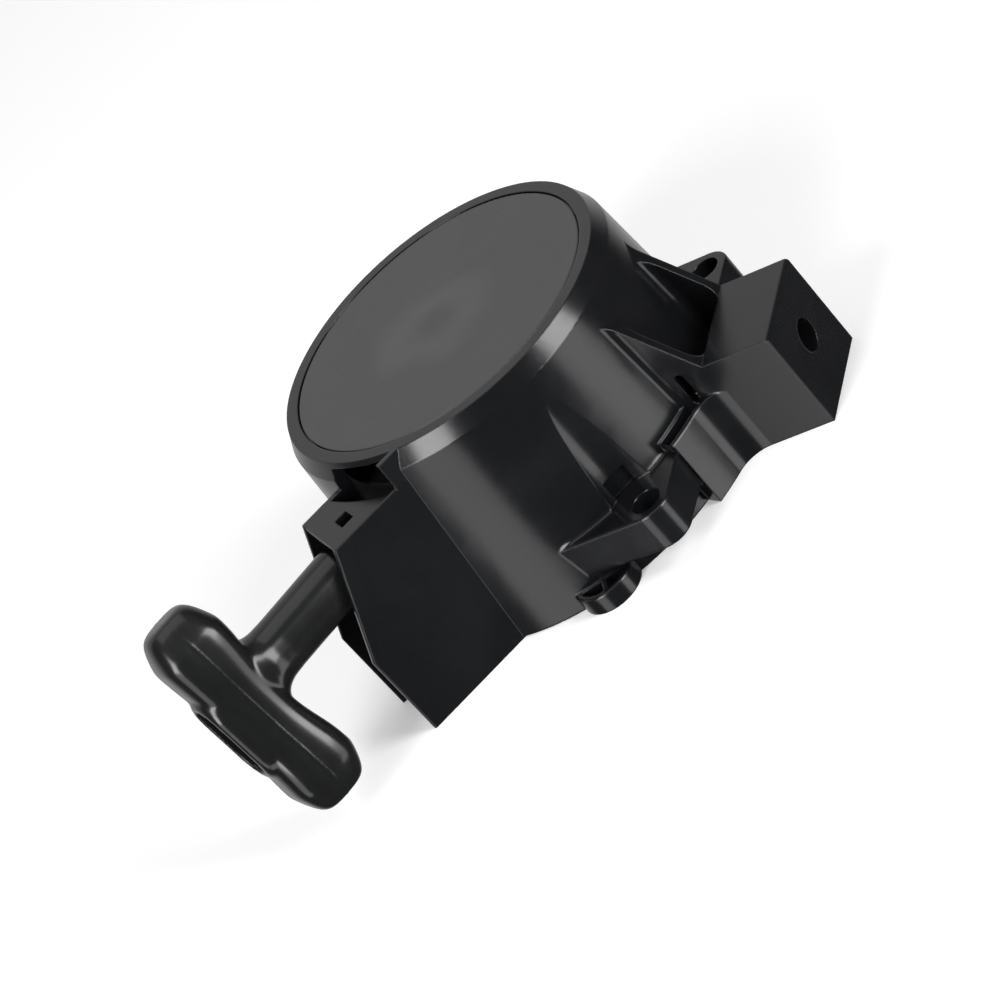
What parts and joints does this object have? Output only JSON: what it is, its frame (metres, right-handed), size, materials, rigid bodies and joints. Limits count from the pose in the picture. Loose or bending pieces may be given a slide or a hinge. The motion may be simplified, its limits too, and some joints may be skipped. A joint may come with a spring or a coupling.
{
  "type": "recoil starter",
  "caption": "Pull-cord recoil starter: drafted round cup with ears, a corner block, a boxed rope outlet and a moulded T handle on its rope.",
  "frame": {"origin": "centre of the cup's mouth, on the plane of its rim, which it stands on", "axes": "+Z along the cup's axis from the open engine side to the closed face; the rope outlet and handle point to -X; the corner block stands between +X and -Y"},
  "size_m": [0.1922, 0.1431, 0.0752],
  "materials": {
    "housing_plastic": "glossy moulded black",
    "disc_plastic": "fine matte charcoal",
    "handle_plastic": "satin moulded black",
    "reel_plastic": "glass-filled nylon",
    "zinc_steel": "zinc plated",
    "spring_steel": "oiled blued strip",
    "rope": "braided polyester"
  },
  "bodies": {
    "housing": {"housing": "housing_plastic", "face_disc": "disc_plastic", "rope_guide": "zinc_steel", "spring_cover": "zinc_steel", "cover_screws": "zinc_steel", "recoil_spring": "spring_steel", "rope_lead": "rope", "thrust_washer": "zinc_steel", "friction_spring": "spring_steel", "centre_screw": "zinc_steel"},
    "reel": {"rope_reel": "reel_plastic", "rope_wound": "rope", "reel_knot": "rope", "pawl_spring_1": "spring_steel", "pawl_spring_2": "spring_steel"},
    "drive": {"drive_plate": "zinc_steel"},
    "pawl_1": {"pawl_1": "zinc_steel"},
    "pawl_2": {"pawl_2": "zinc_steel"},
    "handle": {"handle_grip": "handle_plastic", "handle_washer": "zinc_steel", "handle_rope": "rope", "handle_knot": "rope"}
  },
  "joints": [
    {"name": "reel_spin", "type": "hinge", "parent": "housing", "child": "reel", "pos_m": [0, 0, 0.0456], "axis": [0, 0, -1], "range_deg": [0, 1860], "stiffness_Nm_per_rad": 0.008, "springref_deg": -687.55, "deforming": ["recoil_spring"]},
    {"name": "handle_pull", "type": "slide", "parent": "housing", "child": "handle", "axis": [-0.9903, -0.1392, 0], "range_m": [0, 0.65]},
    {"name": "plate_slip", "type": "hinge", "parent": "reel", "child": "drive", "pos_m": [0, 0, 0.0312], "axis": [0, 0, 1], "range_deg": [0, 25], "stiffness_Nm_per_rad": 0.004, "springref_deg": -11.46},
    {"name": "pawl_1_swing", "type": "hinge", "parent": "reel", "child": "pawl_1", "pos_m": [0.019, 0, 0.0355], "axis": [0, 0, 1], "range_deg": [0, 31.5]},
    {"name": "pawl_2_swing", "type": "hinge", "parent": "reel", "child": "pawl_2", "pos_m": [-0.019, 0, 0.0355], "axis": [0, 0, 1], "range_deg": [0, 31.5]}
  ],
  "couplings": [
    {"joint": "handle_pull", "follows": "reel_spin", "m_per_rad": 0.02},
    {"joint": "pawl_1_swing", "follows": "plate_slip", "ratio": 1.2},
    {"joint": "pawl_2_swing", "follows": "plate_slip", "ratio": 1.2}
  ]
}
